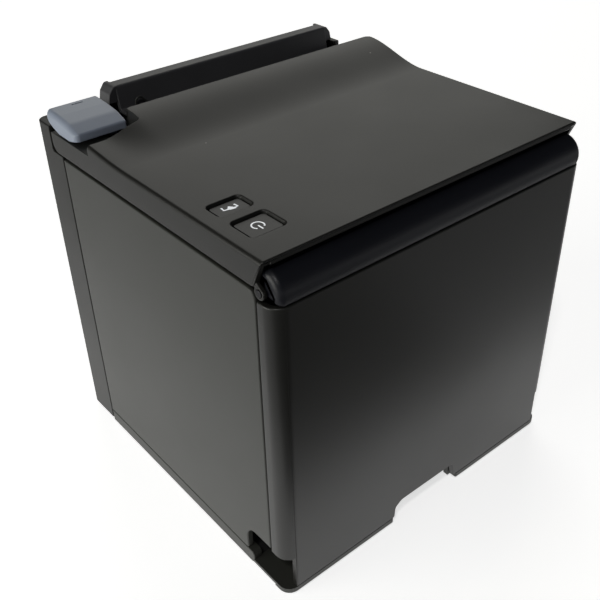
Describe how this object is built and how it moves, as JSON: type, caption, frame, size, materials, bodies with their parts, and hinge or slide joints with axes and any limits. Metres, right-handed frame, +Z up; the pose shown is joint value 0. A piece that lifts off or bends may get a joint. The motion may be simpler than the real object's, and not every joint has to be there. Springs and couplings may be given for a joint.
{
  "type": "receipt printer",
  "caption": "Compact cube-shaped thermal receipt printer with a front-hinged swooping lid, grey release lever, two buttons, paper cutter and a cable bay underneath.",
  "frame": {"origin": "centre of the footprint, on the surface that the feet stand on", "axes": "+X to the right and +Y to the back when the front is faced, +Z up"},
  "size_m": [0.127, 0.127, 0.1305],
  "materials": {
    "case_plastic": "fine-grained near-black moulded plastic",
    "inner_plastic": "plain black moulded plastic",
    "lever_plastic": "satin blue-grey moulded plastic",
    "rubber": "matt black rubber pads",
    "roller_rubber": "ground black silicone rubber",
    "sheet_steel": "zinc-plated sheet and ground shafts",
    "spring_steel": "bright spring wire, pins and screws",
    "heat_sink_aluminium": "drawn and extruded aluminium",
    "head_ceramic": "glazed ceramic strip",
    "gear_plastic": "off-white acetal",
    "board_green": "solder-masked circuit board",
    "socket_plastic": "glossy black connector housings"
  },
  "bodies": {
    "case": {"base_case": "case_plastic", "base_screw_left_front": "spring_steel", "base_screw_left_rear": "spring_steel", "base_screw_right_front": "spring_steel", "base_screw_right_rear": "spring_steel", "cover_switch": "socket_plastic", "cutter_cover": "case_plastic", "cutter_motor": "heat_sink_aluminium", "dc_inlet": "socket_plastic", "drawer_socket": "socket_plastic", "feed_motor": "heat_sink_aluminium", "foot_left_front": "rubber", "foot_left_rear": "rubber", "foot_right_front": "rubber", "foot_right_rear": "rubber", "front_cover": "case_plastic", "front_top_bar": "case_plastic", "head_spring_bracket": "sheet_steel", "head_spring_left": "spring_steel", "head_spring_right": "spring_steel", "hinge_pin_left": "spring_steel", "hinge_pin_right": "spring_steel", "idler_post": "sheet_steel", "latch_stud_left": "spring_steel", "latch_stud_right": "spring_steel", "left_side_panel": "case_plastic", "main_board": "board_green", "mechanism_frame": "sheet_steel", "network_socket": "socket_plastic", "paper_sensor": "socket_plastic", "rear_cover": "case_plastic", "right_side_panel": "case_plastic", "roll_bay": "inner_plastic", "usb_socket": "socket_plastic"},
    "lid": {"lid_cover": "case_plastic", "lid_inner_frame": "inner_plastic", "button_board": "board_green", "feed_switch": "socket_plastic", "power_switch": "socket_plastic", "lever_spring": "spring_steel", "platen_bearing_left": "gear_plastic", "platen_bearing_right": "gear_plastic", "tear_bar": "sheet_steel"},
    "lever": {"lever": "lever_plastic", "latch_shaft": "sheet_steel", "latch_hook_left": "sheet_steel", "latch_hook_right": "sheet_steel"},
    "feed_button": {"feed_button": "case_plastic"},
    "power_button": {"power_button": "case_plastic"},
    "platen": {"platen_shaft": "sheet_steel", "platen_roller": "roller_rubber", "platen_gear": "gear_plastic"},
    "idler": {"idler_gear": "gear_plastic"},
    "motor_pinion": {"motor_pinion": "gear_plastic"},
    "cutter": {"cutter_blade": "sheet_steel", "cutter_rack": "gear_plastic"},
    "cutter_pinion": {"cutter_pinion": "gear_plastic"},
    "print_head": {"thermal_head": "head_ceramic", "head_heat_sink": "heat_sink_aluminium"}
  },
  "joints": [
    {"name": "lid_hinge", "type": "hinge", "parent": "case", "child": "lid", "pos_m": [0, -0.057, 0.115], "axis": [1, 0, 0], "range_deg": [0, 95]},
    {"name": "lever_pivot", "type": "hinge", "parent": "lid", "child": "lever", "pos_m": [0, 0.0285, 0.119], "axis": [1, 0, 0], "range_deg": [0, 16], "stiffness_Nm_per_rad": 0.12, "springref_deg": -34.38},
    {"name": "feed_button_press", "type": "slide", "parent": "lid", "child": "feed_button", "axis": [0, 0, -1], "range_m": [0, 0.0008], "stiffness_N_per_m": 400, "springref_m": -0.0006},
    {"name": "power_button_press", "type": "slide", "parent": "lid", "child": "power_button", "axis": [0, 0, -1], "range_m": [0, 0.0008], "stiffness_N_per_m": 400, "springref_m": -0.0006},
    {"name": "platen_spin", "type": "hinge", "parent": "lid", "child": "platen", "pos_m": [0.0105, 0.038, 0.112], "axis": [1, 0, 0], "continuous": true},
    {"name": "idler_spin", "type": "hinge", "parent": "case", "child": "idler", "pos_m": [-0.0388, 0.04113, 0.09427], "axis": [1, 0, 0], "continuous": true},
    {"name": "motor_pinion_spin", "type": "hinge", "parent": "case", "child": "motor_pinion", "pos_m": [-0.0388, 0.0433, 0.07883], "axis": [1, 0, 0], "continuous": true},
    {"name": "cutter_slide", "type": "slide", "parent": "case", "child": "cutter", "axis": [0, -1, 0], "range_m": [0, 0.0075]},
    {"name": "cutter_pinion_spin", "type": "hinge", "parent": "case", "child": "cutter_pinion", "pos_m": [0.023, 0.0534, 0.114], "axis": [1, 0, 0], "range_deg": [0, 110]},
    {"name": "head_pivot", "type": "hinge", "parent": "case", "child": "print_head", "pos_m": [0.0105, 0.047, 0.096], "axis": [1, 0, 0], "range_deg": [-1.2, 0], "stiffness_Nm_per_rad": 4, "springref_deg": 2.86, "deforming": ["head_spring_left", "head_spring_right"]}
  ],
  "couplings": [
    {"joint": "idler_spin", "follows": "platen_spin", "ratio": -0.5},
    {"joint": "motor_pinion_spin", "follows": "platen_spin", "ratio": 1.6667},
    {"joint": "cutter_pinion_spin", "follows": "cutter_slide", "rad_per_m": 238.1}
  ]
}
